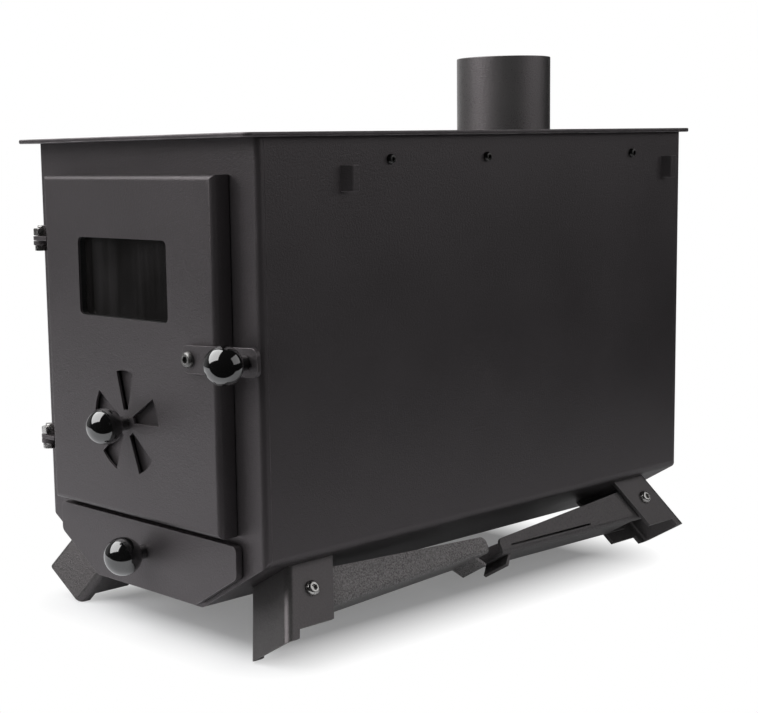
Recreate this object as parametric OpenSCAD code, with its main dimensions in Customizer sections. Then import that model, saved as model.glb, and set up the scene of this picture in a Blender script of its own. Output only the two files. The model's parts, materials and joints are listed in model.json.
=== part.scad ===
// Portable sheet-steel wood stove with a glazed door, an ash drawer and folding legs.
// Millimetres, +Z up, front towards -Y, origin on the floor under the middle of its outline.

/* [Body] */
// Width across the side walls
body_w = 240; // [230:1:260]
// Length from the front panel to the rear panel
body_l = 452; // [420:1:500]
// Height of the upright side walls
wall_h = 271; // [262:1:300]
// Depth of the sloping part below the side walls
keel_h = 39; // [36:1:42]
// Slope of the lower long sides, from level
keel_angle = 31; // [29:1:34]
// Thickness of the body sheet
sheet_t = 2; // [1.5:0.5:2.5]
// Outside radius of the long bends of the body
bend_r = 8; // [5:1:11]
// Radius of the rolled edges of the front and rear panels
edge_r = 4; // [3:0.5:5]
// Depth of the front and rear panels, rolled edge included
panel_depth = 6; // [5.5:0.5:10]

/* [Top plate and flue] */
// Thickness of the top plate
plate_t = 3; // [2:0.5:5]
// Overhang of the top plate past each side wall
plate_side = 7; // [4:0.5:10]
// Overhang of the top plate past the front panel
plate_front = 14.5; // [4:0.5:18]
// Overhang of the top plate past the rear panel
plate_back = 4; // [2:0.5:10]
// Corner radius of the top plate
plate_r = 6; // [3:0.5:10]
// Outside diameter of the flue collar
flue_d = 76; // [70:1:90]
// Wall thickness of the flue collar
flue_t = 2; // [1.5:0.5:3]
// Height of the flue collar above the top plate
flue_h = 60; // [40:1:80]
// Distance from the rear panel to the axis of the flue
flue_back = 76; // [60:1:110]

/* [Door] */
// Front panel left showing beside the door
frame_w = 26; // [25:0.5:30]
// Distance from the top plate down to the door
door_drop = 22.5; // [18:0.5:30]
// Depth of the folded door, from its face to its back edge
door_depth = 15; // [13:0.5:18]
// Radius of the folded edges of the door
door_r = 4; // [3:0.5:5]
// Gap between the door or drawer and the front panel
seal_gap = 1; // [0.5:0.1:2]
// Sideways offset of the window and the air vent
feature_x = -3.5; // [-8:0.5:8]
// Width of the window
window_w = 99; // [80:1:104]
// Height of the window, as a share of the door's height
window_share = 0.2325; // [0.18:0.0025:0.26]
// Distance from the top of the door down to the window, as a share of the door's height
window_drop_share = 0.181; // [0.16:0.001:0.2]
// Corner radius of the window
window_r = 4; // [2:0.5:8]
// Thickness of the window glass
glass_t = 4; // [3:0.5:5]
// Outer radius of the air vent's petal openings
vent_r = 36; // [30:0.5:38]
// Inner radius of the air vent's petal openings
vent_hub_r = 9; // [8:0.5:12]
// Number of petal openings
petals = 5; // [4:1:5]
// Angle that one petal opening spans
petal_angle = 30; // [24:1:32]
// Height of the air vent's centre above the lower edge of the door, as a share of the door's height
vent_share = 0.28; // [0.24:0.001:0.285]

/* [Hinges, latch and knobs] */
// Distance from the door's edge to the hinge axis
hinge_out = 14; // [13:0.5:15]
// Distance of the upper hinge below the top of the door
hinge_inset = 46.5; // [35:0.5:60]
// Distance of the lower hinge above the bottom of the door
hinge_rise = 41; // [30:0.5:50]
// Thickness of one hinge ear
ear_t = 3; // [2:0.5:4]
// Diameter of the hinge, latch and leg bolts
bolt_d = 6; // [5:0.5:7]
// Length of the latch bar
bar_l = 73; // [70:0.5:80]
// Height of the latch bar
bar_h = 18; // [15:0.5:20]
// Thickness of the latch bar
bar_t = 3; // [2:0.5:4]
// Rise of the closed latch bar towards its knob, from level
bar_tilt = 2.8; // [0:0.1:6]
// Distance of the latch below the top of the door
latch_drop = 116.8; // [110:0.1:122]
// Distance of the latch pivot from the door's edge
latch_inset = 22.5; // [22:0.5:30]
// Diameter of the ball knobs on the door
knob_d = 25; // [20:0.5:27]
// Diameter of the ball knob on the drawer
drawer_knob_d = 26.5; // [20:0.5:28]
// Distance from a knob's seat to the centre of its ball
knob_reach = 17.5; // [15:0.5:20]
// Diameter of a knob's neck
neck_d = 10; // [8:0.5:12]

/* [Ash drawer and grate] */
// Height of the drawer front
drawer_h = 47.5; // [44:0.5:52]
// Distance from the side wall to the drawer front's edge
drawer_inset = 21.5; // [19:0.5:26]
// Depth of the folded drawer front
drawer_depth = 5.5; // [4.5:0.5:8]
// Gap between the door and the drawer front
drawer_gap = 5; // [5:0.5:8]
// Length of the ash tray
tray_l = 330; // [250:5:360]
// Sheet thickness of the ash tray
tray_t = 1.5; // [1:0.5:2]
// Number of slots in the fire grate
grate_slots = 9; // [5:1:11]

/* [Legs] */
// Sheet thickness of the leg brackets
bracket_t = 3; // [2:0.5:3]
// Distance of a bracket from the edge of the side wall, along the slope
bracket_in = 10.5; // [10:0.5:16]
// Width of a leg bracket
bracket_w = 44; // [38:0.5:48]
// Depth of a bracket's flanges
bracket_flange = 37; // [34:0.5:42]
// Length of a bracket away from the slope
bracket_drop = 46.9; // [45:0.1:54]
// Lean of the brackets towards the stove's ends
bracket_lean = 25.6; // [22:0.2:30]
// Distance from the front of the body to the bend of the front brackets
front_bracket = 26.5; // [25:0.5:34]
// Distance from the rear of the body to the bend of the rear brackets
rear_bracket = 31; // [25:0.5:36]
// Sheet thickness of the folding legs
leg_t = 2.5; // [1.5:0.5:2.5]
// Radius of a leg's eye at its pivot
leg_eye_r = 13; // [11:0.5:14]
// Distance from a leg's pivot to its face
leg_low = 14.5; // [14:0.1:15]
// Height of a leg's flanges at its foot
leg_tip_h = 12; // [10:0.5:18]
// Length of the turned-down foot
foot_l = 11; // [8:0.5:12]
// Rise of a folded front leg's face towards its foot
front_leg_rise = 6.5; // [5:0.5:8]
// Rise of a folded rear leg's face towards its foot
rear_leg_rise = 2; // [1:0.5:8]
// Where the folded legs meet, as a share of the body's length from the front
legs_meet = 0.494; // [0.47:0.001:0.53]

/* [Fits] */
// Radial running clearance of the turning pins
pin_fit = 0.05; // [0.02:0.01:0.09]
// Clearance between flat pieces that move past each other
side_fit = 0.5; // [0.3:0.1:0.8]

/* [Hidden] */
$fn = 72;
arc_step = 10;
cut = 1;

sin_k = sin(keel_angle);
cos_k = cos(keel_angle);

// Heights above the floor, worked up from the feet
z_knee = bracket_drop * cos_k + (bracket_in + bracket_w) * sin_k;
z_floor = z_knee - keel_h;
z_top = z_knee + wall_h;

// The latch's knob reaches furthest forward, the top plate furthest back
front_reach = door_depth + side_fit + bar_t + knob_reach + knob_d / 2;
y_front = (front_reach - body_l - plate_back) / 2;
y_rear = y_front + body_l;
y_mid = y_front + body_l / 2;

door_w = body_w - 2 * frame_w;
door_z1 = z_top - door_drop;
drawer_rise = 3;
drawer_z0 = z_floor + drawer_rise;
drawer_z1 = drawer_z0 + drawer_h;
door_z0 = drawer_z1 + drawer_gap;
door_h = door_z1 - door_z0;
door_face = y_front - door_depth;
door_back = y_front - seal_gap;
door_lap = 12;
opening_r = 6;

window_x0 = feature_x - window_w / 2;
window_z1 = door_z1 - window_drop_share * door_h;
window_z0 = window_z1 - window_share * door_h;
gasket_w = 9;
gasket_t = 4;
gasket_y = door_face + sheet_t;
glass_y = gasket_y + gasket_t;
retainer_t = 1.5;
retainer_set = 2;

vent_z = door_z0 + vent_share * door_h;
damper_lap = 5;
damper_r = vent_r + damper_lap;
damper_t = 1.5;
damper_gap = 2.5;
damper_y = door_face + sheet_t + damper_gap;
spindle_d = 8;
spindle_collar = 3;
spindle_collar_t = 2;

hinge_stand = 8;
hinge_x = -door_w / 2 - hinge_out;
hinge_y = y_front - hinge_stand;
hinge_zs = [door_z1 - hinge_inset, door_z0 + hinge_rise];
ear_wall = 3;
ear_r = bolt_d / 2 + ear_wall;
ear_gap = side_fit;
bolt_head_h = 4;
nut_h = 5;
nut_d = bolt_d * 1.9;
thread_end = 2;

latch_z = door_z1 - latch_drop;
latch_x = door_w / 2 - latch_inset;
bar_y = door_face - side_fit - bar_t;
bar_tail = 7;
bar_r = 5;
bar_knob_in = 10.8;
screw_head_d = 1.75 * bolt_d;
screw_head_h = 0.55 * bolt_d;
hex_d = 0.7 * bolt_d;

drawer_w = body_w - 2 * drawer_inset;
drawer_knee_drop = 10;
drawer_knee = z_knee - drawer_knee_drop;
drawer_face = y_front - seal_gap - drawer_depth;
drawer_r = 5;
drawer_top_r = 4;
drawer_lap = 4;
drawer_opening_r = 2;
drawer_knob_up = 3;
tray_inset = 6;
tray_drop = 8;
tray_r = 3;
tray_z0 = drawer_z0 + tray_inset;
runner_w = 8;
runner_x = 25;

grate_t = 3;
grate_rise = 3;
grate_z = drawer_z1 + grate_rise;
grate_end_gap = 12;
grate_side_gap = 2;
ledge_w = 14;
slot_w = 8;
slot_r = 3.5;
slot_end = 54;

// Positions in a leg corner: u along the body from its end, w away from the slope
pivot_in = 13;
pivot_w = 18;
bracket_r = 5;
bracket_step = 6;
bracket_foot = 10.6;
leg_side_gap = 0.8;
leg_v = bracket_in + bracket_t + leg_side_gap;
leg_w = bracket_w - 2 * (bracket_t + leg_side_gap);
leg_end_gap = 6.5;
leg_low_w = pivot_w + leg_low;
leg_open = 18;
leg_r = 4;
leg_lip = 5.5;
leg_tip_r = 5;
foot_angle = 45;
slit_l = 95;
slit_h = 1.4;
slit_up = 4.8;

hook_l = 10.5;
hook_h = 17;
hook_t = 2;
hook_r = 3;
hook_out = 5;
hook_angle = 60;
hook_drop = 18.5;
hook_front = 71;
hook_rear = 27;
hook_ys = [y_front + hook_front, y_rear - hook_rear];
screw_shares = [0.26, 0.475, 0.853];
side_screw_d = 7;
side_screw_h = 4;
side_screw_drop = 15.5;

charcoal = [0.13, 0.13, 0.13];
soot = [0.08, 0.08, 0.08];
gloss_black = [0.03, 0.03, 0.03];
zinc = [0.72, 0.72, 0.70];
glass_tint = [0.10, 0.10, 0.11, 0.6];

// Plane outlines

function unit(v) = v / norm(v);
function half_angle(a, p, b) = acos(unit(a - p) * unit(b - p)) / 2;
function bisector(a, p, b) = unit(unit(a - p) + unit(b - p));

// Points round the corner p, from the side that comes from a to the side that goes on to b
function corner_points(a, p, b, r) =
  let (
    half = half_angle(a, p, b),
    centre = p + bisector(a, p, b) * r / sin(half),
    first = p + unit(a - p) * r / tan(half) - centre,
    start = atan2(first[1], first[0]),
    turn = 180 - 2 * half,
    steps = ceil(turn / arc_step)
  ) [for (i = [0 : steps]) centre + r * [cos(start + turn * i / steps), sin(start + turn * i / steps)]];

// Convex outline, drawn counter-clockwise, with a round corner of its own radius at each point
module rounded_polygon(points, radii) {
  n = len(points);
  polygon([
    for (i = [0 : n - 1])
      each radii[i] > 0
        ? corner_points(points[(i + n - 1) % n], points[i], points[(i + 1) % n], radii[i])
        : [points[i]]
  ]);
}

module rounded_rect(x0, y0, x1, y1, radii) {
  rounded_polygon([[x0, y0], [x1, y0], [x1, y1], [x0, y1]], radii);
}

// Outline with upright sides above a knee and sloping sides below it, drawn in by inset
function keel_points(half_w, top, knee, bottom, inset) =
  let (
    x = half_w - inset,
    k = knee + inset * (1 - sin_k) / cos_k,
    b = bottom + inset,
    xb = half_w + ((b - knee) * cos_k - inset) / sin_k
  ) [[-xb, b], [xb, b], [x, k], [x, top], [-x, top], [-x, k]];

module body_outline(inset, top) {
  r = bend_r - inset;
  rounded_polygon(keel_points(body_w / 2, top, z_knee, z_floor, inset), [r, r, r, 0, 0, r]);
}

module drawer_outline(inset, top, top_r, r) {
  rounded_polygon(
    keel_points(drawer_w / 2, top, drawer_knee, drawer_z0, inset), [r, r, r, top_r, top_r, r]
  );
}

// Channel section with rounded bends: its face at y = 0, its flanges towards +y
module channel(width, depth, t, r) {
  difference() {
    rounded_rect(0, 0, width, depth, [r, r, 0, 0]);
    rounded_rect(t, t, width - t, depth + cut, [r - t, r - t, 0, 0]);
  }
}

// The same section with its flanges towards -y
module channel_below(width, depth, t, r) {
  difference() {
    rounded_rect(0, -depth, width, 0, [0, 0, r, r]);
    rounded_rect(t, -depth - cut, width - t, -t, [0, 0, r - t, r - t]);
  }
}

// Extrusions along the other two axes

module along_y(y0, length) {
  translate([0, y0 + length, 0]) rotate([90, 0, 0]) linear_extrude(length) children();
}

module along_x(x0, length) {
  translate([x0, 0, 0]) rotate([90, 0, 90]) linear_extrude(length) children();
}

module rod_y(x, y0, z, r, length) {
  translate([x, y0, z]) rotate([-90, 0, 0]) cylinder(r = r, h = length);
}

// Body

module shell() {
  color(charcoal) along_y(y_front + panel_depth, body_l - 2 * panel_depth) difference() {
    body_outline(0, z_top);
    body_outline(sheet_t, z_top + cut);
  }
}

// End panel with its edges rolled back to meet the shell
module end_pan() {
  difference() {
    intersection() {
      along_y(y_front, panel_depth) body_outline(0, z_top);
      translate([0, 0, z_floor - cut]) linear_extrude(z_top - z_floor + 2 * cut) rounded_rect(
        -body_w / 2, y_front, body_w / 2, y_front + panel_depth + cut, [edge_r, edge_r, 0, 0]
      );
    }
    along_y(y_front + sheet_t, panel_depth) body_outline(sheet_t, z_top + cut);
  }
}

module front_panel() {
  color(charcoal) difference() {
    end_pan();
    along_y(y_front - cut, panel_depth) rounded_rect(
      -door_w / 2 + door_lap, door_z0 + door_lap, door_w / 2 - door_lap, door_z1 - door_lap,
      [opening_r, opening_r, opening_r, opening_r]
    );
    along_y(y_front - cut, panel_depth) drawer_outline(
      drawer_lap, drawer_z1 - drawer_lap, drawer_opening_r, drawer_opening_r
    );
  }
}

module rear_panel() {
  color(charcoal) translate([0, 2 * y_mid, 0]) mirror([0, 1, 0]) end_pan();
}

module top_plate() {
  color(charcoal) difference() {
    translate([0, 0, z_top]) linear_extrude(plate_t) rounded_rect(
      -body_w / 2 - plate_side, y_front - plate_front, body_w / 2 + plate_side, y_rear + plate_back,
      [plate_r, plate_r, plate_r, plate_r]
    );
    translate([0, y_rear - flue_back, z_top - cut]) cylinder(
      d = flue_d - 2 * flue_t, h = plate_t + 2 * cut
    );
  }
}

module flue_collar() {
  color(charcoal) translate([0, y_rear - flue_back, z_top + plate_t]) difference() {
    cylinder(d = flue_d, h = flue_h);
    translate([0, 0, -cut]) cylinder(d = flue_d - 2 * flue_t, h = flue_h + 2 * cut);
  }
}

// Slotted plate over the ash drawer, lying on its ledges
module fire_grate() {
  half_w = body_w / 2 - sheet_t - grate_side_gap;
  y0 = y_front + grate_end_gap;
  length = body_l - 2 * grate_end_gap;
  pitch = 2 * (half_w - ledge_w) / grate_slots;
  color(soot) translate([0, 0, grate_z]) linear_extrude(grate_t) difference() {
    translate([-half_w, y0]) square([2 * half_w, length]);
    for (i = [0 : grate_slots - 1]) {
      x = (i - (grate_slots - 1) / 2) * pitch;
      rounded_rect(
        x - slot_w / 2, y0 + slot_end, x + slot_w / 2, y0 + length - slot_end,
        [slot_r, slot_r, slot_r, slot_r]
      );
    }
  }
}

module grate_ledges() {
  color(soot) for (side = [-1, 1]) {
    x = side * (body_w / 2 - sheet_t);
    y0 = y_front + panel_depth;
    translate([min(x, x - side * ledge_w), y0, grate_z - sheet_t]) cube(
      [ledge_w, body_l - 2 * panel_depth, sheet_t]
    );
  }
}

// Strips on the floor of the body that the ash tray slides on
module drawer_runners() {
  z0 = z_floor + sheet_t;
  color(soot) for (side = [-1, 1]) {
    translate([side * runner_x - runner_w / 2, y_front + panel_depth, z0]) cube(
      [runner_w, body_l - 2 * panel_depth, tray_z0 - side_fit / 2 - z0]
    );
  }
}

// Bent strip that rises from the side wall and runs on beside it, open towards the rear
module hook() {
  run = 1 / tan(hook_angle);
  base = hook_t / sin(hook_angle);
  out = hook_out + hook_t;
  linear_extrude(hook_h) difference() {
    rounded_polygon([[0, 0], [out, out * run], [out, hook_l], [0, hook_l]], [0, hook_r, 0, 0]);
    rounded_polygon(
      [
        [-cut, base - cut * run], [hook_out, base + hook_out * run],
        [hook_out, hook_l + cut], [-cut, hook_l + cut]
      ],
      [0, hook_r - hook_t, 0, 0]
    );
  }
}

module side_hooks() {
  color(charcoal) for (side = [0, 1], y = hook_ys) {
    flip_x(side) translate([body_w / 2, y, z_top - hook_drop - hook_h]) hook();
  }
}

module side_screws() {
  color(soot) for (side = [0, 1], share = screw_shares) {
    y = y_front + share * body_l;
    flip_x(side) translate([body_w / 2, y, z_top - side_screw_drop]) rotate([0, 90, 0]) difference() {
      cylinder(d = side_screw_d, h = side_screw_h);
      translate([0, 0, side_screw_h / 2]) cylinder(d = side_screw_d / 2, h = side_screw_h, $fn = 6);
    }
  }
}

// Hinges

// Eye at the origin with a tail towards +x
module ear(tail, hole_r) {
  linear_extrude(ear_t) difference() {
    union() {
      circle(r = ear_r);
      translate([0, -ear_r]) square([tail, 2 * ear_r]);
    }
    circle(r = hole_r);
  }
}

module body_hinge_ears() {
  color(charcoal) for (z = hinge_zs) {
    translate([hinge_x, hinge_y, z - ear_gap / 2 - ear_t]) rotate(90) ear(hinge_stand, bolt_d / 2);
  }
}

module door_hinge_ears() {
  color(charcoal) for (z = hinge_zs) {
    translate([hinge_x, hinge_y, z + ear_gap / 2]) ear(hinge_out, bolt_d / 2 + pin_fit);
  }
}

module hinge_bolts() {
  stack = 2 * ear_t + 2 * ear_gap;
  color(zinc) for (z = hinge_zs) {
    translate([hinge_x, hinge_y, z - ear_gap / 2 - ear_t]) {
      cylinder(d = bolt_d, h = stack + nut_h + thread_end);
      translate([0, 0, -bolt_head_h]) cylinder(d = nut_d, h = bolt_head_h, $fn = 6);
      translate([0, 0, stack]) cylinder(d = nut_d, h = nut_h, $fn = 6);
    }
  }
}

// Door

// Folded pan with rounded, mitred edges, open at its back
module pan(x0, z0, x1, z1, face, depth, r) {
  intersection() {
    translate([0, 0, z0 - cut]) linear_extrude(z1 - z0 + 2 * cut) rounded_rect(
      x0, face, x1, face + depth, [r, r, 0, 0]
    );
    along_x(x0 - cut, x1 - x0 + 2 * cut) rounded_rect(face, z0, face + depth, z1, [r, 0, 0, r]);
  }
}

module petal_openings() {
  for (i = [0 : petals - 1]) {
    rotate(90 + i * 360 / petals) intersection() {
      difference() {
        circle(r = vent_r);
        circle(r = vent_hub_r);
      }
      polygon([
        [0, 0],
        [2 * vent_r, -2 * vent_r * tan(petal_angle / 2)],
        [2 * vent_r, 2 * vent_r * tan(petal_angle / 2)]
      ]);
    }
  }
}

module window_frame(grow) {
  rounded_rect(
    window_x0 - grow, window_z0 - grow, window_x0 + window_w + grow, window_z1 + grow,
    [window_r, window_r, window_r, window_r]
  );
}

module door_panel() {
  half = door_w / 2;
  depth = door_back - door_face;
  color(charcoal) difference() {
    pan(-half, door_z0, half, door_z1, door_face, depth, door_r);
    pan(
      -half + sheet_t, door_z0 + sheet_t, half - sheet_t, door_z1 - sheet_t,
      door_face + sheet_t, depth, door_r - sheet_t
    );
    along_y(door_face - cut, sheet_t + 2 * cut) window_frame(0);
    along_y(door_face - cut, sheet_t + 2 * cut) translate([feature_x, vent_z]) petal_openings();
    rod_y(feature_x, door_face - cut, vent_z, spindle_d / 2 + pin_fit, sheet_t + 2 * cut);
    rod_y(latch_x, door_face - cut, latch_z, bolt_d / 2, sheet_t + 2 * cut);
  }
}

module window_gasket() {
  color(soot) along_y(gasket_y, gasket_t) difference() {
    window_frame(gasket_w);
    window_frame(0);
  }
}

module window_glass() {
  color(glass_tint) along_y(glass_y, glass_t) window_frame(gasket_w);
}

module glass_retainer() {
  color(soot) along_y(glass_y + glass_t, retainer_t) difference() {
    window_frame(gasket_w);
    window_frame(retainer_set);
  }
}

// Latch, in a frame at its pivot that leans with the closed bar

module at_latch() {
  translate([latch_x, 0, latch_z]) rotate([0, -bar_tilt, 0]) children();
}

module latch_screw() {
  back = door_face + sheet_t;
  head = bar_y - side_fit - screw_head_h;
  color(zinc) at_latch() difference() {
    union() {
      rod_y(0, head, 0, screw_head_d / 2, screw_head_h);
      rod_y(0, head, 0, bolt_d / 2, back + nut_h - head);
      translate([0, back, 0]) rotate([-90, 0, 0]) cylinder(d = nut_d, h = nut_h, $fn = 6);
    }
    translate([0, head - cut, 0]) rotate([-90, 0, 0]) cylinder(
      d = hex_d, h = screw_head_h / 2 + cut, $fn = 6
    );
  }
}

module latch_bar() {
  color(charcoal) at_latch() difference() {
    along_y(bar_y, bar_t) rounded_rect(
      -bar_tail, -bar_h / 2, bar_l - bar_tail, bar_h / 2, [bar_r, bar_r, bar_r, bar_r]
    );
    rod_y(0, bar_y - cut, 0, bolt_d / 2 + pin_fit, bar_t + 2 * cut);
  }
}

// Ball on a short neck, with its seat at y = 0 and reaching forward
module knob(ball_d) {
  translate([0, -knob_reach, 0]) sphere(d = ball_d);
  rod_y(0, -knob_reach, 0, neck_d / 2, knob_reach);
}

module latch_knob() {
  color(gloss_black) at_latch() translate([bar_l - bar_tail - bar_knob_in, bar_y, 0]) knob(knob_d);
}

// Air damper

module damper_disc() {
  color(charcoal) translate([feature_x, 0, vent_z]) along_y(damper_y, damper_t) rotate(180 / petals)
    difference() {
      circle(r = damper_r);
      petal_openings();
      circle(d = spindle_d);
    }
}

module damper_spindle() {
  front = door_face - side_fit;
  back = damper_y + damper_t;
  color(soot) translate([feature_x, 0, vent_z]) {
    rod_y(0, front, 0, spindle_d / 2, back + spindle_collar_t - front);
    rod_y(0, back, 0, spindle_d / 2 + spindle_collar, spindle_collar_t);
  }
}

module damper_knob() {
  color(gloss_black) translate([feature_x, door_face - side_fit, vent_z]) knob(knob_d);
}

// Ash drawer

module drawer_front() {
  color(charcoal) difference() {
    along_y(drawer_face, drawer_depth) drawer_outline(0, drawer_z1, drawer_top_r, drawer_r);
    along_y(drawer_face + sheet_t, drawer_depth) drawer_outline(
      sheet_t, drawer_z1 - sheet_t, drawer_top_r - sheet_t, drawer_r - sheet_t
    );
  }
}

// Open-topped tray behind the drawer front
module ash_tray() {
  top = drawer_z1 - tray_drop;
  y0 = drawer_face + sheet_t;
  color(soot) difference() {
    along_y(y0, tray_l) drawer_outline(tray_inset, top, 0, tray_r);
    along_y(y0 + tray_t, tray_l - 2 * tray_t) drawer_outline(
      tray_inset + tray_t, top + cut, 0, tray_r - tray_t
    );
  }
}

module drawer_knob() {
  z = (drawer_z0 + drawer_z1) / 2 + drawer_knob_up;
  color(gloss_black) translate([0, drawer_face, z]) knob(drawer_knob_d);
}

// Legs

module flip_x(on) {
  if (on) {
    mirror([1, 0, 0]) children();
  } else {
    children();
  }
}

module flip_y(on) {
  if (on) {
    mirror([0, 1, 0]) children();
  } else {
    children();
  }
}

// Frame of one lower corner: x inward along the slope, y from the body's end, z away from the slope
module corner(left, rear) {
  translate([0, y_mid, 0]) flip_x(left) flip_y(rear) translate([body_w / 2, -body_l / 2, z_knee])
    rotate([0, 180 - keel_angle, 0]) children();
}

function bracket_u(rear) = rear ? rear_bracket : front_bracket;
function pivot_u(rear) = bracket_u(rear) + pivot_in;
function leg_face_u(rear) = pivot_u(rear) + leg_open;
function leg_tip_u(rear) = (rear ? 1 - legs_meet : legs_meet) * body_l - leg_end_gap;
function leg_rise(rear) = rear ? rear_leg_rise : front_leg_rise;
function leg_tip_w(rear) = leg_low_w - leg_rise(rear);
function leg_fold(rear) = -atan(leg_rise(rear) / (leg_tip_u(rear) - leg_face_u(rear)));

// Side view of a bracket: it ends in a foot by the bend, and is cut shorter behind it
module bracket_side(rear) {
  end = bracket_u(rear) - bracket_drop * tan(bracket_lean);
  foot = end + bracket_foot;
  low = bracket_drop - bracket_step;
  far = 4 * bracket_flange;
  polygon([
    [end - far, 0], [far, 0], [far, low], [foot + bracket_step / 2, low],
    [foot, bracket_drop], [end - far, bracket_drop]
  ]);
}

module bracket(rear) {
  reach = 2 * bracket_drop;
  color(charcoal) difference() {
    intersection() {
      translate([bracket_in, bracket_u(rear), 0]) rotate([bracket_lean, 0, 0]) translate([0, 0, -reach / 2])
        linear_extrude(2 * reach) channel(bracket_w, bracket_flange, bracket_t, bracket_r);
      along_x(bracket_in - cut, bracket_w + 2 * cut) bracket_side(rear);
    }
    translate([bracket_in - cut, pivot_u(rear), pivot_w]) rotate([0, 90, 0]) cylinder(
      d = bolt_d, h = bracket_w + 2 * cut
    );
  }
}

module bracket_front_right() {
  corner(false, false) bracket(false);
}

module bracket_front_left() {
  corner(true, false) bracket(false);
}

module bracket_rear_right() {
  corner(false, true) bracket(true);
}

module bracket_rear_left() {
  corner(true, true) bracket(true);
}

module leg_bolt(rear) {
  head = bracket_in - screw_head_h;
  translate([head, pivot_u(rear), pivot_w]) rotate([0, 90, 0]) difference() {
    union() {
      cylinder(d = screw_head_d, h = screw_head_h);
      cylinder(d = bolt_d, h = screw_head_h + bracket_w + nut_h);
      translate([0, 0, screw_head_h + bracket_w]) cylinder(d = nut_d, h = nut_h, $fn = 6);
    }
    translate([0, 0, -cut]) cylinder(d = hex_d, h = screw_head_h / 2 + cut, $fn = 6);
  }
}

module leg_bolts() {
  color(zinc) for (left = [false, true], rear = [false, true]) {
    corner(left, rear) leg_bolt(rear);
  }
}

// Side view of a folded leg: round at the pivot, tapering to the foot, and cut past its face
module leg_side(rear) {
  tip_u = leg_tip_u(rear);
  tip_w = leg_tip_w(rear);
  start_u = pivot_u(rear) - leg_eye_r;
  start_w = leg_low_w + (start_u - leg_face_u(rear)) * tan(leg_fold(rear));
  rounded_polygon(
    [
      [start_u, pivot_w - leg_eye_r], [tip_u, tip_w - leg_tip_h],
      [tip_u, tip_w + cut], [start_u, start_w + cut]
    ],
    [leg_eye_r, leg_tip_r, 0, leg_eye_r]
  );
}

// Tapered channel that nests in its bracket, its face along the lower edge, its foot turned down
module leg(rear) {
  tip_u = leg_tip_u(rear);
  axis_u = pivot_u(rear);
  face_u = leg_face_u(rear);
  length = tip_u - axis_u;
  color(charcoal) difference() {
    union() {
      intersection() {
        translate([leg_v, face_u, leg_low_w]) rotate([leg_fold(rear), 0, 0]) along_y(-length, 3 * length)
          channel_below(leg_w, 3 * leg_eye_r, leg_t, leg_r);
        along_x(leg_v - cut, leg_w + 2 * cut) leg_side(rear);
      }
      translate([leg_v + leg_lip, tip_u - foot_l, leg_tip_w(rear) - leg_t / 2]) rotate([foot_angle, 0, 0])
        cube([leg_w - 2 * leg_lip, foot_l, leg_t]);
    }
    translate([leg_v + leg_lip, axis_u - 2 * leg_eye_r, pivot_w - 2 * leg_eye_r]) cube(
      [leg_w - 2 * leg_lip, 2 * leg_eye_r + face_u - axis_u, 4 * leg_eye_r]
    );
    translate([leg_v - cut, axis_u, pivot_w]) rotate([0, 90, 0]) cylinder(
      r = bolt_d / 2 + pin_fit, h = leg_w + 2 * cut
    );
  }
}

// Rear leg, slit along the fold of its outer flange
module rear_leg() {
  difference() {
    leg(true);
    translate([leg_v - cut, leg_tip_u(true), leg_tip_w(true)]) rotate([leg_fold(true), 0, 0]) translate(
      [0, -foot_l - slit_l, -slit_up - slit_h]
    ) cube([leg_t + 2 * cut, slit_l, slit_h]);
  }
}

module leg_front_right() {
  corner(false, false) leg(false);
}

module leg_front_left() {
  corner(true, false) leg(false);
}

module leg_rear_right() {
  corner(false, true) rear_leg();
}

module leg_rear_left() {
  corner(true, true) rear_leg();
}

shell();
front_panel();
rear_panel();
top_plate();
flue_collar();
fire_grate();
grate_ledges();
drawer_runners();
side_hooks();
side_screws();
body_hinge_ears();
hinge_bolts();
bracket_front_right();
bracket_front_left();
bracket_rear_right();
bracket_rear_left();
leg_bolts();
leg_front_right();
leg_front_left();
leg_rear_right();
leg_rear_left();
door_panel();
window_gasket();
window_glass();
glass_retainer();
door_hinge_ears();
latch_screw();
latch_bar();
latch_knob();
damper_disc();
damper_spindle();
damper_knob();
drawer_front();
ash_tray();
drawer_knob();
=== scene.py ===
import json
import math

import bmesh
import bpy
from mathutils import Matrix, Vector


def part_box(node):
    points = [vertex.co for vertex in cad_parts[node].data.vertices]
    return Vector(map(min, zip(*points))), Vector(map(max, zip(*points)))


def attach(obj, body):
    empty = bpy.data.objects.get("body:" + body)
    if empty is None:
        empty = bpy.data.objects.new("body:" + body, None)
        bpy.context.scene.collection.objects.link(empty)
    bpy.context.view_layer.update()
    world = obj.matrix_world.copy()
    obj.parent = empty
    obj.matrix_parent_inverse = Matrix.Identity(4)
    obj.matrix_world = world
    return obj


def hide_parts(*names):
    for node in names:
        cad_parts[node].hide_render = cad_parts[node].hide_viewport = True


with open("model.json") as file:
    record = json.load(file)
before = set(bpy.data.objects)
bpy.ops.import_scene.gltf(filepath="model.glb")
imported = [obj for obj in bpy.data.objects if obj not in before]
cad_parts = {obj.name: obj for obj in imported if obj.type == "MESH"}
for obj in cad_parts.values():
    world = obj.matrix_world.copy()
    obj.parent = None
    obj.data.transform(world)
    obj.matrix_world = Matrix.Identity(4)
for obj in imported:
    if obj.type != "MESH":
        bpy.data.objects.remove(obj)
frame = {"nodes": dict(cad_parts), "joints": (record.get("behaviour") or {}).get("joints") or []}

nodes = frame["nodes"]
joints = {joint["name"]: joint for joint in frame["joints"]}
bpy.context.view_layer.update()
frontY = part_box("front_panel")[0].y
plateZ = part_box("top_plate")[0].z
print("frame:", len(nodes), "nodes")


# node trees

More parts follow.
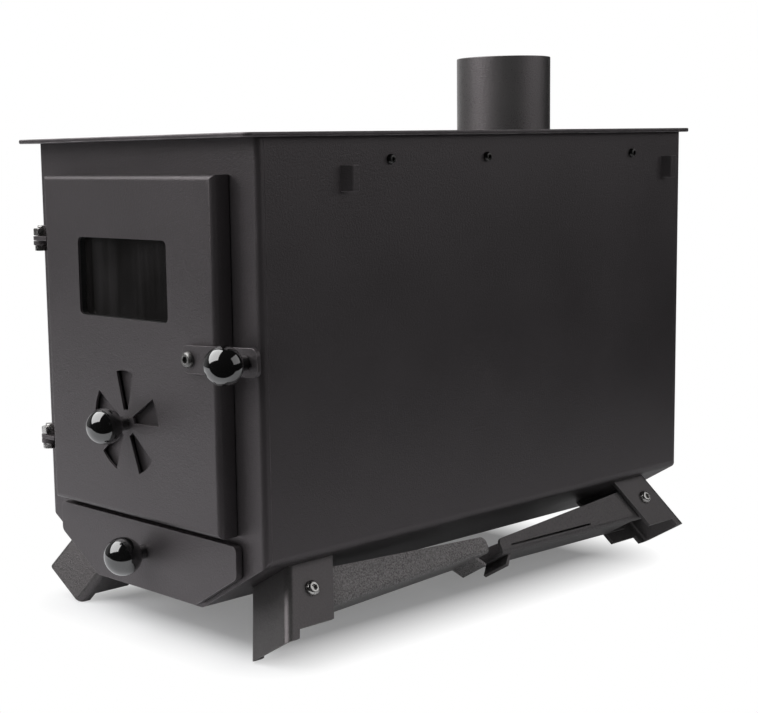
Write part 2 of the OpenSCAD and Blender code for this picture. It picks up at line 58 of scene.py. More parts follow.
class Wire:
    def __init__(self, look, socket):
        self.look = look
        self.socket = socket

    def calc(self, operation, first, second):
        return self.look.add("ShaderNodeMath", {"operation": operation}, {0: first, 1: second})

    def __add__(self, other):
        return self.calc("ADD", self, other)

    def __radd__(self, other):
        return self.calc("ADD", other, self)

    def __sub__(self, other):
        return self.calc("SUBTRACT", self, other)

    def __mul__(self, other):
        return self.calc("MULTIPLY", self, other)


class Look:
    def __init__(self, tree):
        self.tree = tree

    def add(self, kind, settings=None, values=None, output=0):
        node = self.tree.nodes.new(kind)
        for name, setting in (settings or {}).items():
            setattr(node, name, setting)
        for name, value in (values or {}).items():
            self.plug(node.inputs[name], value)
        return Wire(self, node.outputs[output])

    def plug(self, socket, value):
        if isinstance(value, Wire):
            self.tree.links.new(value.socket, socket)
        else:
            socket.default_value = value

    def place(self):
        return self.add("ShaderNodeTexCoord", output="Object")

    def noise(self, place, scale, detail=2.0, roughness=0.5):
        return self.add("ShaderNodeTexNoise", {"noise_dimensions": "3D"},
                        {"Vector": place, "Scale": scale, "Detail": detail, "Roughness": roughness})

    def band(self, value, low, high, toLow=0.0, toHigh=1.0):
        return self.add("ShaderNodeMapRange", {"clamp": True},
                        {"Value": value, "From Min": low, "From Max": high,
                         "To Min": toLow, "To Max": toHigh})

    def blend(self, factor, first, second):
        node = self.tree.nodes.new("ShaderNodeMix")
        node.data_type = "RGBA"
        self.plug(node.inputs[0], factor)
        self.plug(node.inputs[6], first)
        self.plug(node.inputs[7], second)
        return Wire(self, node.outputs[2])

    def bump(self, height, strength, distance):
        return self.add("ShaderNodeBump", None,
                        {"Strength": strength, "Distance": distance, "Height": height})


def grey(level, warmth=0.0):
    return (level * (1 + warmth), level, level * (1 - warmth), 1.0)


def newMaterial(name):
    material = bpy.data.materials.new(name)
    material.use_nodes = True
    look = Look(material.node_tree)
    return material, look, material.node_tree.nodes["Principled BSDF"]


# sheet steel under heat-proof paint; its eased edges are painted lighter, partly as rubbed wear and partly as
# a painted highlight where the edges catch the light

paint = {"dark": 0.022, "light": 0.046, "tint": (1.05, 0.96, 1.0), "grain": 1500.0, "patch": 16.0,
         "grainShare": 0.9, "patchShare": 0.5, "roughness": 0.37, "roughnessSpan": 0.14, "bump": 0.5,
         "depth": 0.0004, "edgeWearAndSheen": 0.12, "edgeGloss": 0.08, "edgeWearAndSheenPatch": 90.0,
         "edgeWearAndSheenBand": (0.35, 0.65, 0.15, 1.0), "dullShares": (0.6, 0.4), "dullBand": (0.3, 0.7),
         "coarse": 0.4, "coarseShare": 0.7, "ior": 1.7, "mirrorTint": (1.0, 0.90, 0.94, 1.0)}
legPaint = dict(paint, dark=0.020, light=0.100, tint=(1.0, 0.98, 0.96), grain=900.0, grainShare=1.8,
                roughness=0.38, roughnessSpan=0.3, bump=0.5, depth=0.0006)
# the front legs get a lighter copy of the same leg paint: painted light for the brighter light they catch
frontLegLitPaint = dict(legPaint, dark=0.025, light=0.260, grainShare=3.2)
bracketPaint = dict(paint, dark=0.024, light=0.076, tint=(1.0, 0.98, 0.96), grain=900.0, grainShare=1.6,
                    bump=0.3)
# the latch bar's edges are painted lighter still: a painted highlight for the bright rims along its top edge
# and rounded end
latchHighlightPaint = dict(paint, edgeWearAndSheen=0.36)
# the flue gets a lighter copy of the body paint: painted light that brightens the bands of light on the tube
flueLitPaint = dict(paint, dark=0.046, light=0.088, tint=(1.0, 0.98, 0.97), roughness=0.31, ior=2.0)
soot = dict(paint, dark=0.010, light=0.030, roughness=0.75, patchShare=1.0, bump=0.4, edgeWearAndSheen=0.04, ior=1.45)


def tinted(level, tint):
    return tuple(level * share for share in tint) + (1.0,)


def paintMaterial(name, values):
    material, look, shader = newMaterial(name)
    place = look.place()
    grain = look.noise(place, values["grain"], detail=2.0, roughness=0.6)
    patch = look.noise(place, values["patch"], detail=3.0)
    tone = (grain - 0.5) * values["grainShare"] + (patch - 0.5) * values["patchShare"] + 0.5
    # lighter colour on the eased edges: rubbed wear and a painted edge highlight together
    edge = look.add("ShaderNodeAttribute", {"attribute_name": "wearAndSheen"}, output="Fac")
    wearAndSheenEdge = edge * look.band(look.noise(place, values["edgeWearAndSheenPatch"], detail=3.0), *values["edgeWearAndSheenBand"])
    coat = look.blend(look.band(tone, 0.0, 1.0), tinted(values["dark"], values["tint"]),
                      tinted(values["light"], values["tint"]))
    shader.inputs["IOR"].default_value = values["ior"]
    shader.inputs["Specular Tint"].default_value = values["mirrorTint"]
    look.plug(shader.inputs["Base Color"], look.blend(wearAndSheenEdge, coat, tinted(values["edgeWearAndSheen"], values["tint"])))
    fine, wide = values["dullShares"]
    span = values["roughnessSpan"] / 2
    dull = look.band(grain * fine + patch * wide, *values["dullBand"], values["roughness"] - span,
                     values["roughness"] + span)
    look.plug(shader.inputs["Roughness"], dull - wearAndSheenEdge * values["edgeGloss"])
    coarse = look.noise(place, values["grain"] * values["coarse"], detail=1.0)
    look.plug(shader.inputs["Normal"],
              look.bump(grain + coarse * values["coarseShare"], values["bump"], values["depth"]))
    return material


# zinc of the bolts and screws, black oxide of the side screws

zinc = {"dark": 0.42, "light": 0.68, "warmth": 0.02, "scale": 420.0, "clouds": (0.3, 0.7),
        "roughness": 0.24, "smoother": 0.06, "rougher": 0.1, "fine": 2200.0, "bump": 0.06, "depth": 0.0002}
greyZinc = dict(zinc, dark=0.10, light=0.38, scale=1500.0, roughness=0.42, bump=0.15)
blackOxide = dict(zinc, dark=0.07, light=0.14, scale=900.0, roughness=0.36, bump=0.1)


def zincMaterial(name, values):
    material, look, shader = newMaterial(name)
    place = look.place()
    cloud = look.noise(place, values["scale"], detail=3.0)
    shader.inputs["Metallic"].default_value = 1.0
    look.plug(shader.inputs["Base Color"], look.blend(
        look.band(cloud, *values["clouds"]), grey(values["dark"], values["warmth"]),
        grey(values["light"], values["warmth"])))
    look.plug(shader.inputs["Roughness"], look.band(
        cloud, *values["clouds"], values["roughness"] - values["smoother"],
        values["roughness"] + values["rougher"]))
    look.plug(shader.inputs["Normal"],
              look.bump(look.noise(place, values["fine"]), values["bump"], values["depth"]))
    return material


# black plastic of the ball knobs

gloss = {"dark": 0.0035, "light": 0.0055, "cloud": 90.0, "clouds": (0.3, 0.7), "ior": 1.9,
         "roughness": 0.07, "smoother": 0.02, "rougher": 0.03, "coat": 1.0, "coatRoughness": 0.03,
         "ripple": 260.0, "bump": 0.02, "depth": 0.0003}


def knobMaterial(name, values):
    material, look, shader = newMaterial(name)
    place = look.place()
    cloud = look.noise(place, values["cloud"], detail=2.0)
    shader.inputs["IOR"].default_value = values["ior"]
    shader.inputs["Coat Weight"].default_value = values["coat"]
    shader.inputs["Coat Roughness"].default_value = values["coatRoughness"]
    look.plug(shader.inputs["Base Color"], look.blend(
        cloud, grey(values["dark"]), grey(values["light"])))
    look.plug(shader.inputs["Roughness"], look.band(
        cloud, *values["clouds"], values["roughness"] - values["smoother"],
        values["roughness"] + values["rougher"]))
    look.plug(shader.inputs["Normal"],
              look.bump(look.noise(place, values["ripple"], detail=1.0), values["bump"], values["depth"]))
    return material


# window glass tinted near black as painted shade of the dark firebox behind it, lighter in faint blotches and
# vertical streaks as painted reflection

pane = {"paneSheen": 0.045, "paneSheenTint": (1.05, 0.98, 1.0), "soot": 0.010, "paneShadeTint": (1.1, 1.0, 0.95),
        "clear": 0.6, "ior": 1.3, "cloud": 22.0, "runs": (110.0, 110.0, 5.0), "paneSheenBand": (0.38, 0.66),
        "roughness": 0.05, "rougher": 0.05, "dullBand": (0.35, 0.75), "ripple": 60.0, "bump": 0.02,
        "depth": 0.0004}


def glassMaterial(name, values):
    material, look, shader = newMaterial(name)
    place = look.place()
    cloud = look.noise(place, values["cloud"], detail=4.0)
    drawn = look.add("ShaderNodeVectorMath", {"operation": "MULTIPLY"}, {0: place, 1: values["runs"]})
    runs = look.noise(drawn, 1.0)
    paneSheen = look.band(cloud * 0.5 + runs * 0.5, *values["paneSheenBand"])
    shader.inputs["Transmission Weight"].default_value = values["clear"]
    shader.inputs["IOR"].default_value = values["ior"]
    # the soot colour is painted shade of the firebox; the lighter blotches and streaks are a painted
    # reflection
    look.plug(shader.inputs["Base Color"], look.blend(paneSheen, tinted(values["soot"], values["paneShadeTint"]),
                                                      tinted(values["paneSheen"], values["paneSheenTint"])))
    look.plug(shader.inputs["Roughness"], look.band(
        cloud, *values["dullBand"], values["roughness"], values["roughness"] + values["rougher"]))
    look.plug(shader.inputs["Normal"],
              look.bump(look.noise(place, values["ripple"], detail=1.0), values["bump"], values["depth"]))
    return material


# woven fibre of the window seal

weave = {"dark": 0.003, "light": 0.014, "pitch": 1800.0, "fibre": 800.0, "fibreShare": 0.6,
         "clothBand": (0.2, 1.3), "rough": 0.95, "smooth": 0.8, "bump": 0.5, "depth": 0.0004}


def gasketMaterial(name, values):
    material, look, shader = newMaterial(name)
    place = look.place()
    split = look.tree.nodes.new("ShaderNodeSeparateXYZ")
    look.plug(split.inputs[0], place)
    axes = [Wire(look, socket) for socket in split.outputs]
    rows = look.add("ShaderNodeMath", {"operation": "SINE"}, {0: (axes[0] + axes[2]) * values["pitch"]})
    columns = look.add("ShaderNodeMath", {"operation": "SINE"}, {0: (axes[0] - axes[2]) * values["pitch"]})
    cloth = rows * columns * 0.5 + 0.5
    fluff = look.noise(place, values["fibre"]) * values["fibreShare"]
    look.plug(shader.inputs["Base Color"], look.blend(
        look.band(cloth + fluff, *values["clothBand"]), grey(values["dark"]), grey(values["light"])))
    look.plug(shader.inputs["Roughness"], look.band(cloth, 0.0, 1.0, values["rough"], values["smooth"]))
    look.plug(shader.inputs["Normal"], look.bump(cloth, values["bump"], values["depth"]))
    return material


paintLook = paintMaterial("stovePaint", paint)
legLook = paintMaterial("legPaint", legPaint)
frontLegLitLook = paintMaterial("frontLegLitPaint", frontLegLitPaint)
bracketLook = paintMaterial("bracketPaint", bracketPaint)
latchHighlightLook = paintMaterial("latchHighlightPaint", latchHighlightPaint)
flueLitLook = paintMaterial("flueLitPaint", flueLitPaint)
sootLook = paintMaterial("sootSteel", soot)
zincLook = zincMaterial("zinc", zinc)
greyZincLook = zincMaterial("greyZinc", greyZinc)
blackScrewLook = zincMaterial("blackOxide", blackOxide)
knobLook = knobMaterial("knobPlastic", gloss)
glassLook = glassMaterial("windowGlass", pane)
gasketLook = gasketMaterial("gasketWeave", weave)
print("looks: 13")


# pieces

weld = 0.000002
tiny = 0.000001
screwCrease = 40.0


def dress(item, look):
    item.data.materials.clear()
    item.data.materials.append(look)


def smoothEdges(bm, limit):
    for face in bm.faces:
        face.smooth = True
    for edge in bm.edges:
        edge.smooth = edge.is_manifold and edge.calc_face_angle(0.0) < math.radians(limit)


def finishPiece(name, bm, look, body, replaced, limit=32.0):
    bmesh.ops.recalc_face_normals(bm, faces=bm.faces)
    smoothEdges(bm, limit)
    mesh = bpy.data.meshes.new(name)
    bm.to_mesh(mesh)
    bm.free()
    item = bpy.data.objects.new(name, mesh)
    bpy.context.scene.collection.objects.link(item)
    dress(item, look)
    normals = item.modifiers.new("normals", "WEIGHTED_NORMAL")
    normals.keep_sharp = True
    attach(item, body)
    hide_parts(*replaced)


# sheet pieces: the solid's own faces with its sharp edges eased

sheets = {
    "shell": ("stove", paintLook, 0.0003), "front_panel": ("stove", paintLook, 0.0004),
    "rear_panel": ("stove", paintLook, 0.0004), "top_plate": ("stove", paintLook, 0.0008),
    "side_hooks": ("stove", paintLook, 0.0004), "body_hinge_ears": ("stove", paintLook, 0.0004),
    "bracket_front_right": ("stove", bracketLook, 0.0005),
    "bracket_front_left": ("stove", bracketLook, 0.0005),
    "bracket_rear_right": ("stove", bracketLook, 0.0005),
    "bracket_rear_left": ("stove", bracketLook, 0.0005),
    "leg_front_right": ("front_right_leg", frontLegLitLook, 0.0004),
    "leg_front_left": ("front_left_leg", frontLegLitLook, 0.0004),
    "leg_rear_right": ("rear_right_leg", legLook, 0.0004),
    "leg_rear_left": ("rear_left_leg", legLook, 0.0004),
    "door_panel": ("door", paintLook, 0.0004), "door_hinge_ears": ("door", paintLook, 0.0004),
    "latch_bar": ("latch", latchHighlightLook, 0.0005), "damper_disc": ("damper", paintLook, 0.0003),
    "drawer_front": ("drawer", paintLook, 0.0004), "ash_tray": ("drawer", sootLook, 0.0003),
}
easing = {"flat": 0.4, "sharp": 28.0, "segments": 2, "profile": 0.5, "limit": 50.0}


def easedSheet(node, body, look, width):
    bm = bmesh.new()
    bm.from_mesh(nodes[node].data)
    wearAndSheen = bm.faces.layers.float.new("wearAndSheen")
    bmesh.ops.remove_doubles(bm, verts=bm.verts, dist=weld)
    bmesh.ops.dissolve_limit(bm, angle_limit=math.radians(easing["flat"]), use_dissolve_boundaries=False,
                             verts=bm.verts, edges=bm.edges)
    sharp = [edge for edge in bm.edges
             if edge.is_manifold and edge.calc_face_angle(0.0) > math.radians(easing["sharp"])]
    eased = bmesh.ops.bevel(bm, geom=sharp, offset=width, offset_type="OFFSET", affect="EDGES",
                            segments=easing["segments"], profile=easing["profile"], material=-1,
                            clamp_overlap=True)
    # the eased faces carry the mark for the lighter edge colour, rubbed wear and painted highlight together
    for face in eased["faces"]:
        face[wearAndSheen] = 1.0
    finishPiece(node + "_sheet", bm, look, body, [node], limit=easing["limit"])


for node, (body, look, width) in sheets.items():
    easedSheet(node, body, look, width)
print("sheets:", len(sheets))


# turned pieces

def turned(profile, steps, closed=True):
    bm = bmesh.new()
    points = [bm.verts.new((radius, 0.0, height)) for radius, height in profile]
    edges = [bm.edges.new(pair) for pair in zip(points, points[1:])]
    if closed:
        edges.append(bm.edges.new((points[-1], points[0])))
    bmesh.ops.spin(bm, geom=points + edges, cent=(0, 0, 0), axis=(0, 0, 1), dvec=(0, 0, 0),
                   angle=math.tau, steps=steps, use_merge=True, use_normal_flip=False, use_duplicate=False)
    bmesh.ops.remove_doubles(bm, verts=bm.verts, dist=tiny)
    return bm


def arc(radius, centre, start, end, steps):
    return [(centre[0] + radius * math.cos(math.radians(start + (end - start) * i / steps)),
             centre[1] + radius * math.sin(math.radians(start + (end - start) * i / steps)))
            for i in range(steps + 1)]


def along(direction, place):
    turn = Vector((0, 0, 1)).rotation_difference(Vector(direction)).to_matrix().to_4x4()
    return Matrix.Translation(place) @ turn


flue = {"wall": 0.002, "lip": 0.0007, "lipSteps": 4, "steps": 128}
flueLow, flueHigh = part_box("flue_collar")
flueRadius = (flueHigh.x - flueLow.x) / 2
flueTall = flueHigh.z - flueLow.z
flueBore = flueRadius - flue["wall"]
lip, lipSteps = flue["lip"], flue["lipSteps"]
flueProfile = ([(flueBore, 0.0), (flueRadius, 0.0)]
               + arc(lip, (flueRadius - lip, flueTall - lip), 0, 90, lipSteps)
               + arc(lip, (flueBore + lip, flueTall - lip), 90, 180, lipSteps))
flueFoot = ((flueLow.x + flueHigh.x) / 2, (flueLow.y + flueHigh.y) / 2, flueLow.z)
bm = turned(flueProfile, flue["steps"])
bmesh.ops.transform(bm, matrix=Matrix.Translation(flueFoot), verts=bm.verts)
finishPiece("flue_tube", bm, flueLitLook, "stove", ["flue_collar"])

knobs = {"neckRadius": 0.005, "neckFillet": 0.0022, "filletSteps": 6, "seatEase": 0.0008, "easeSteps": 3,
         "ballSteps": 32, "steps": 72}


def ballKnob(node, body):
    low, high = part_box(node)
    radius = (high.z - low.z) / 2
    reach = high.y - low.y - radius
    neck = knobs["neckRadius"]
    fillet = knobs["neckFillet"]
    ease = knobs["seatEase"]
    # the fillet's circle touches the neck and the ball
    across = neck + fillet
    rise = reach - math.sqrt((radius + fillet) ** 2 - across ** 2)
    touch = math.degrees(math.atan2(rise - reach, across))
    profile = ([(0.0, 0.0), (neck - ease, 0.0)] + arc(ease, (neck - ease, ease), -90, 0, knobs["easeSteps"])
               + arc(fillet, (across, rise), 180, 180 + touch, knobs["filletSteps"])
               + arc(radius, (0.0, reach), touch, 90, knobs["ballSteps"])[1:])
    profile[-1] = (0.0, reach + radius)
    bm = turned(profile, knobs["steps"], closed=False)
    bmesh.ops.transform(bm, matrix=along((0, -1, 0), ((low.x + high.x) / 2, high.y, (low.z + high.z) / 2)),
                        verts=bm.verts)
    finishPiece(node + "_ball", bm, knobLook, body, [node])


for node, body in (("latch_knob", "latch"), ("damper_knob", "damper"), ("drawer_knob", "drawer")):
    ballKnob(node, body)
print("turned pieces: 4")


# screws, bolts and nuts, drawn as rings from the inside of the socket outwards

def hexReach(half):
    return lambda angle: half / math.cos(angle % (math.pi / 3) - math.pi / 6)


def rings(bm, profile, matrix, count=48):
    start = bmesh.ops.create_circle(bm, cap_ends=True, segments=count, radius=1.0)["verts"]
    corners = list(start)
    made = list(start)
    edges = list(dict.fromkeys(edge for vert in start for edge in vert.link_edges))
    for step, (reach, height) in enumerate(profile):
        if step:
            grown = bmesh.ops.extrude_edge_only(bm, edges=edges)["geom"]
            corners = [item for item in grown if isinstance(item, bmesh.types.BMVert)]
            edges = [item for item in grown if isinstance(item, bmesh.types.BMEdge)
                     and all(vert in corners for vert in item.verts)]
            made += corners
        for vert in corners:
            angle = math.atan2(vert.co.y, vert.co.x)
            radius = reach(angle) if callable(reach) else reach
            vert.co = Vector((radius * math.cos(angle), radius * math.sin(angle), height))
    bmesh.ops.contextual_create(bm, geom=edges)
    bmesh.ops.transform(bm, matrix=matrix, verts=made)


button = {"headRadius": 0.00525, "headTall": 0.0033, "socketHalf": 0.0019, "socketDeep": 0.0019,
          "rim": 0.0005, "crown": 1.45, "floor": 0.96, "mouth": 1.1, "mouthEase": 0.0002,
          "seatEase": 0.0001, "domeTurn": 10}
nut = {"cone": 1.06, "bore": 0.55, "lip": 0.0004}


def buttonProfile(values, shankRadius, shankLong):
    radius, tall, rim = values["headRadius"], values["headTall"], values["rim"]
    half, ease = values["socketHalf"], values["seatEase"]
    crown = half * values["crown"]
    turns = [math.radians(turn) for turn in range(0, 91, values["domeTurn"])]
    dome = [(crown + (radius - crown) * math.sin(turn), rim + (tall - rim) * math.cos(turn))
            for turn in turns]
    socket = [(hexReach(half * values["floor"]), tall - values["socketDeep"]),
              (hexReach(half), tall - values["mouthEase"]), (hexReach(half * values["mouth"]), tall)]
    seat = [(radius, ease), (radius - ease, 0.0), (shankRadius, 0.0), (shankRadius, -shankLong)]
    return socket + dome + seat


def nutProfile(half, tall, chamfer):
    flat = hexReach(half)
    cone = half * nut["cone"]
    bore = half * nut["bore"]

    def cut(angle):
        return min(flat(angle), cone)

    return [(bore, tall), (cone - nut["lip"], tall), (cut, tall), (flat, tall - chamfer), (flat, chamfer),
            (cut, 0.0), (bore, 0.0)]


legBolt = dict(button, grip=0.044, shankRadius=0.003, nutHalf=0.005, nutTall=0.005, chamfer=0.0006,
               over=0.0012)
legSides = {"front_right": 1, "front_left": -1, "rear_right": 1, "rear_left": -1}
bm = bmesh.new()
for corner, side in legSides.items():
    joint = joints[corner + "_leg_fold"]
    pivot = Vector(joint["pos_m"])
    axis = Vector(joint["axis"]).normalized()
    outward = axis * side if axis.x > 0 else -axis * side
    head = pivot + outward * legBolt["grip"] / 2
    shank = legBolt["grip"] + legBolt["nutTall"] + legBolt["over"]
    rings(bm, buttonProfile(legBolt, legBolt["shankRadius"], shank), along(outward, head))
    rings(bm, nutProfile(legBolt["nutHalf"], legBolt["nutTall"], legBolt["chamfer"]),
          along(-outward, pivot - outward * legBolt["grip"] / 2))
finishPiece("leg_bolt_set", bm, zincLook, "stove", ["leg_bolts"], limit=screwCrease)

latchScrew = dict(button, shankRadius=0.003, socketHalf=0.0022, socketDeep=0.0024, nutHalf=0.005,
                  nutTall=0.005, chamfer=0.0006, nutBack=0.007)
low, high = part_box("latch_screw")
pivot = Vector(joints["latch_pivot"]["pos_m"])
bm = bmesh.new()
rings(bm, buttonProfile(latchScrew, latchScrew["shankRadius"], high.y - low.y - latchScrew["headTall"]),
      along((0, -1, 0), (pivot.x, low.y + latchScrew["headTall"], pivot.z)))
rings(bm, nutProfile(latchScrew["nutHalf"], latchScrew["nutTall"], latchScrew["chamfer"]),
      along((0, 1, 0), (pivot.x, high.y - latchScrew["nutBack"], pivot.z)))
finishPiece("latch_screw_set", bm, greyZincLook, "door", ["latch_screw"], limit=screwCrease)

sideScrew = dict(button, headRadius=0.0035, headTall=0.0028, socketHalf=0.0013, socketDeep=0.0014,
                 rim=0.0004, shankRadius=0.002, shankLong=0.0018, shares=(0.26, 0.475, 0.853), drop=0.0155)
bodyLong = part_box("rear_panel")[1].y - frontY
bm = bmesh.new()
for side, face in ((1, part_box("shell")[1].x), (-1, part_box("shell")[0].x)):
    for share in sideScrew["shares"]:
        rings(bm, buttonProfile(sideScrew, sideScrew["shankRadius"], sideScrew["shankLong"]),
              along((side, 0, 0), (face, frontY + share * bodyLong, plateZ - sideScrew["drop"])))
finishPiece("side_screw_set", bm, blackScrewLook, "stove", ["side_screws"], limit=screwCrease)

hingeBolt = {"shankRadius": 0.003, "headHalf": 0.005, "headTall": 0.004, "nutHalf": 0.005, "nutTall": 0.005,
             "chamfer": 0.0005, "over": 0.002, "gap": 0.0005, "sunk": 0.001}
thread = {"pitch": 0.001, "deep": 0.0005, "steps": 24}


def threadEnd(radius, values, long, matrix):
    # one tooth spun up the helix, then cut off square at both ends
    bm = bmesh.new()
    pitch = values["pitch"]
    tooth = [bm.verts.new((radius - values["deep"], 0.0, -pitch)), bm.verts.new((radius, 0.0, -pitch / 2)),
             bm.verts.new((radius - values["deep"], 0.0, 0.0))]
    flanks = [bm.edges.new(tooth[:2]), bm.edges.new(tooth[1:])]
    turns = math.ceil(long / pitch) + 1
    steps = turns * values["steps"]
    bmesh.ops.spin(bm, geom=tooth + flanks, cent=(0, 0, 0), axis=(0, 0, 1),
                   dvec=(0, 0, pitch / values["steps"]), angle=math.tau * turns, steps=steps, use_merge=False,
                   use_normal_flip=False, use_duplicate=False)
    bmesh.ops.remove_doubles(bm, verts=bm.verts, dist=weld)
    for height, facing in ((0.0, -1), (long, 1)):
        bmesh.ops.bisect_plane(bm, geom=bm.verts[:] + bm.edges[:] + bm.faces[:], dist=tiny,
                               plane_co=(0, 0, height), plane_no=(0, 0, facing), clear_outer=True)
        rim = [edge for edge in bm.edges
               if edge.is_boundary and all(abs(vert.co.z - height) < weld for vert in edge.verts)]
        bmesh.ops.holes_fill(bm, edges=rim, sides=0)
    bmesh.ops.transform(bm, matrix=matrix, verts=bm.verts)
    mesh = bpy.data.meshes.new("thread")
    bm.to_mesh(mesh)
    bm.free()
    return mesh


earLow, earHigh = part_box("body_hinge_ears")
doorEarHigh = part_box("door_hinge_ears")[1]
hinge = Vector(joints["door_hinge"]["pos_m"])
earThick = doorEarHigh.z - earHigh.z - hingeBolt["gap"]
stack = earThick * 2 + hingeBolt["gap"] * 2
sunk = hingeBolt["sunk"]
bm = bmesh.new()
for seat in (earLow.z, earHigh.z - earThick):
    place = Vector((hinge.x, hinge.y, seat))
    rings(bm, nutProfile(hingeBolt["headHalf"], hingeBolt["headTall"], hingeBolt["chamfer"]),
          along((0, 0, -1), place))
    rings(bm, [(hingeBolt["shankRadius"], -sunk), (hingeBolt["shankRadius"], stack + sunk)],
          Matrix.Translation(place))
    rings(bm, nutProfile(hingeBolt["nutHalf"], hingeBolt["nutTall"], hingeBolt["chamfer"]),
          Matrix.Translation(place + Vector((0, 0, stack))))
    end = threadEnd(hingeBolt["shankRadius"], thread, hingeBolt["over"] + sunk,
                    Matrix.Translation(place + Vector((0, 0, stack + hingeBolt["nutTall"] - sunk))))
    bm.from_mesh(end)
    bpy.data.meshes.remove(end)
finishPiece("hinge_bolt_set", bm, zincLook, "stove", ["hinge_bolts"], limit=screwCrease)
print("screws: 4 sets")


# solids that show as they are

plain = {"fire_grate": sootLook, "grate_ledges": sootLook, "drawer_runners": sootLook,
         "glass_retainer": sootLook, "damper_spindle": zincLook, "window_gasket": gasketLook,
         "window_glass": glassLook}
for node, item in nodes.items():
    dress(item, plain.get(node, paintLook))
print("plain solids:", len(plain))


# floor, backdrop and light

stage = {"radius": 1.25, "sides": 96, "centre": (-0.75, 0.0, 0.0), "tone": (0.79, 0.80, 0.82, 1.0),
         "speck": 9.0, "speckLift": 1.02, "foot": (0.085, 0.17, 0.0), "near": 0.0, "far": 0.062, "lift": 0.2,
         "shine": 0.2, "edgeTurn": 48.0, "edge": 0.36, "edgeFade": 0.08}
edgeToward = (math.sin(math.radians(stage["edgeTurn"])), -math.cos(math.radians(stage["edgeTurn"])), 0.0)


def lightPath(look, *kinds):
    rays = look.tree.nodes.new("ShaderNodeLightPath")
    total = Wire(look, rays.outputs[kinds[0]])
    for kind in kinds[1:]:
        total = total + Wire(look, rays.outputs[kind])
    return total


def floorMaterial(values):
    material = bpy.data.materials.new("floorPale")
    material.use_nodes = True
    look = Look(material.node_tree)
    look.tree.nodes.clear()
    place = look.place()
    folded = look.add("ShaderNodeVectorMath", {"operation": "ABSOLUTE"}, {0: place})
    beyond = look.add("ShaderNodeVectorMath", {"operation": "SUBTRACT"}, {0: folded, 1: values["foot"]})
    beyond = look.add("ShaderNodeVectorMath", {"operation": "MAXIMUM"}, {0: beyond, 1: (0.0, 0.0, 0.0)})
    away = look.add("ShaderNodeVectorMath", {"operation": "LENGTH"}, {0: beyond}, "Value")
    ahead = look.add("ShaderNodeVectorMath", {"operation": "DOT_PRODUCT"}, {0: place, 1: edgeToward}, "Value")
    ring = look.band(away, values["near"], values["far"], values["lift"], 1.0)
    front = look.band(ahead, values["edge"] - values["edgeFade"], values["edge"])
    fade = look.add("ShaderNodeMath", {"operation": "MAXIMUM"}, {0: ring, 1: front})
    speck = look.noise(place, values["speck"])
    pale = tuple(level * values["speckLift"] for level in values["tone"][:3]) + (1.0,)
    matte = look.add("ShaderNodeBsdfDiffuse", None, {"Color": look.blend(speck, values["tone"], pale)})
    glow = look.add("ShaderNodeEmission", None, {"Color": (1.0, 1.0, 1.0, 1.0), "Strength": 1.0})
    out = look.tree.nodes.new("ShaderNodeOutputMaterial")
    seen = (lightPath(look, "Is Camera Ray", "Is Transmission Ray")
            + lightPath(look, "Is Glossy Ray") * values["shine"])
    look.plug(out.inputs["Surface"],
              look.add("ShaderNodeMixShader", None, {0: seen * fade, 1: matte, 2: glow}))
    return material


bm = bmesh.new()
bmesh.ops.create_circle(bm, cap_ends=True, segments=stage["sides"], radius=stage["radius"],
                        matrix=Matrix.Translation(stage["centre"]))
bmesh.ops.bisect_plane(bm, geom=bm.verts[:] + bm.edges[:] + bm.faces[:], dist=tiny,
                       plane_co=Vector(edgeToward) * stage["edge"], plane_no=edgeToward, clear_outer=True)
mesh = bpy.data.meshes.new("floor")
bm.to_mesh(mesh)
bm.free()
floor = bpy.data.objects.new("floor", mesh)
bpy.context.scene.collection.objects.link(floor)
dress(floor, floorMaterial(stage))

# what the paint mirrors: white sheets at the left, a dark room behind the camera
room = {"dark": 0.01, "low": 0.35, "high": 0.8, "overhead": 0.1,
        "sheets": ((-105.0, 38.0, 30.0, 0.15), (-128.0, 20.0, 14.0, 0.6))}
world = bpy.data.worlds.new("room")
bpy.context.scene.world = world
world.use_nodes = True
look = Look(world.node_tree)
look.tree.nodes.clear()
direction = look.add("ShaderNodeTexCoord", output="Generated")
level = 0.0
for turn, wide, soft, bright in room["sheets"]:
    toward = (math.sin(math.radians(turn)), -math.cos(math.radians(turn)), 0.0)
    facing = look.add("ShaderNodeVectorMath", {"operation": "DOT_PRODUCT"},
                      {0: direction, 1: toward}, "Value")
    outer, inner = math.cos(math.radians(wide + soft)), math.cos(math.radians(wide))
    level = level + look.band(facing, outer, inner, 0.0, bright)
height = look.add("ShaderNodeSeparateXYZ", None, {0: direction}, "Z")
level = level * look.band(height, room["low"], room["high"], 1.0, room["overhead"])
around = look.add("ShaderNodeBackground", None, {"Color": (1.0, 1.0, 1.0, 1.0), "Strength": room["dark"]})
white = look.add("ShaderNodeBackground", None, {"Color": (1.0, 1.0, 1.0, 1.0), "Strength": 1.0})
out = look.tree.nodes.new("ShaderNodeOutputWorld")
seen = lightPath(look, "Is Camera Ray", "Is Transmission Ray") + lightPath(look, "Is Glossy Ray") * level
look.plug(out.inputs["Surface"], look.add("ShaderNodeMixShader", None, {0: seen, 1: around, 2: white}))

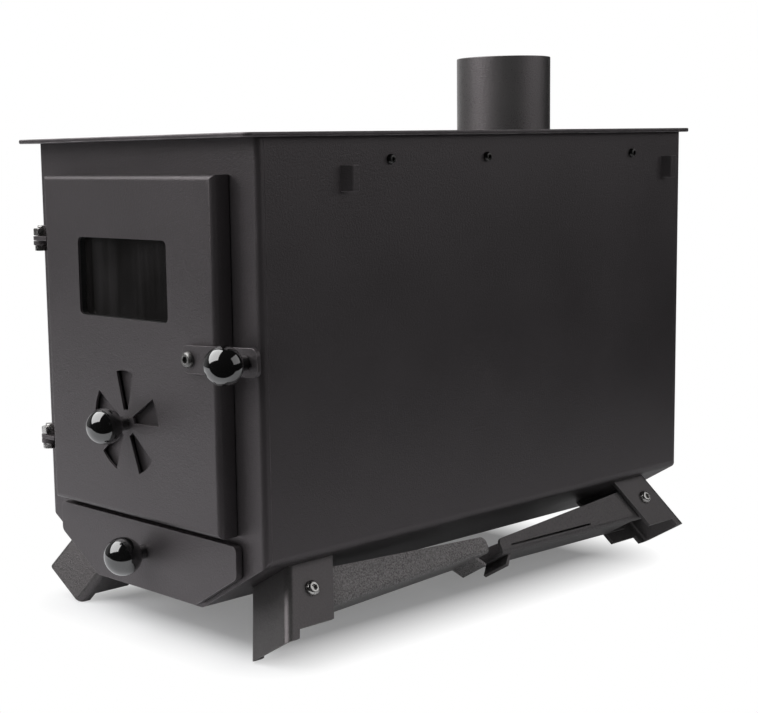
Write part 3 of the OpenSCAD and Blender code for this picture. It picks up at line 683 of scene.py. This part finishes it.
# the fills would show in the knobs as lamps, so they only light
lamps = {
    "key": {"from": (-0.347, -0.557, 0.755), "edge": (0.918, 0.116, 0.380), "distance": 1.5,
            "size": (1.5, 1.85), "watts": 30.0, "mirrored": True},
    "side": {"from": (0.708, 0.553, 0.438), "edge": (0.62, -0.79, 0.0), "distance": 1.6, "size": (1.6, 1.05),
             "watts": 4.3, "mirrored": True},
    "right": {"from": (0.98, 0.03, 0.15), "edge": (0.0, 1.0, 0.0), "distance": 1.6, "size": (1.4, 1.2),
              "watts": 4.2, "mirrored": False},
    "front": {"from": (0.20, -0.97, 0.12), "edge": (1.0, 0.0, 0.0), "distance": 1.5, "size": (0.6, 0.8),
              "watts": 4.6, "mirrored": False},
}
middle = Vector((0.0, 0.0, 0.2))
for name, values in lamps.items():
    lamp = bpy.data.lights.new(name, "AREA")
    lamp.shape = "RECTANGLE"
    lamp.size, lamp.size_y = values["size"]
    lamp.energy = values["watts"]
    away = Vector(values["from"]).normalized()
    across = Vector(values["edge"])
    across = (across - away * across.dot(away)).normalized()
    item = bpy.data.objects.new(name, lamp)
    item.matrix_world = Matrix((across, away.cross(across), away)).transposed().to_4x4()
    item.location = middle + away * values["distance"]
    item.visible_glossy = values["mirrored"]
    bpy.context.scene.collection.objects.link(item)
print("stage: floor, room and", len(lamps), "lamps")


# camera at the photo's place

photoView = {"pixels": (758, 713), "focalPixels": 1558.95, "lensAxis": (277.38, 369.31), "azimuth": 48.267,
             "elevation": 7.945, "roll": -1.177, "place": (0.8445, -0.6328, -0.00916)}
sideways, lift, roll = (math.radians(photoView[name]) for name in ("azimuth", "elevation", "roll"))
back = Vector((math.sin(sideways) * math.cos(lift), -math.cos(sideways) * math.cos(lift), math.sin(lift)))
right = Vector((math.cos(sideways), math.sin(sideways), 0.0))
up = back.cross(right)
right, up = right * math.cos(roll) + up * math.sin(roll), up * math.cos(roll) - right * math.sin(roll)
wide, tall = photoView["pixels"]
lens = bpy.data.cameras.new("photo")
lens.sensor_width = 36.0
lens.lens = photoView["focalPixels"] * lens.sensor_width / wide
lens.shift_x = (wide / 2 - photoView["lensAxis"][0]) / wide
lens.shift_y = (photoView["lensAxis"][1] - tall / 2) / wide
lens.clip_start = 0.01
camera = bpy.data.objects.new("photo", lens)
eye = Vector((0.0, frontY, plateZ)) + Vector(photoView["place"])
camera.matrix_world = Matrix((right, up, back)).transposed().to_4x4()
camera.location = eye
bpy.context.scene.collection.objects.link(camera)
bpy.context.scene.camera = camera
bpy.context.scene.view_settings.view_transform = "Standard"
print("camera placed")
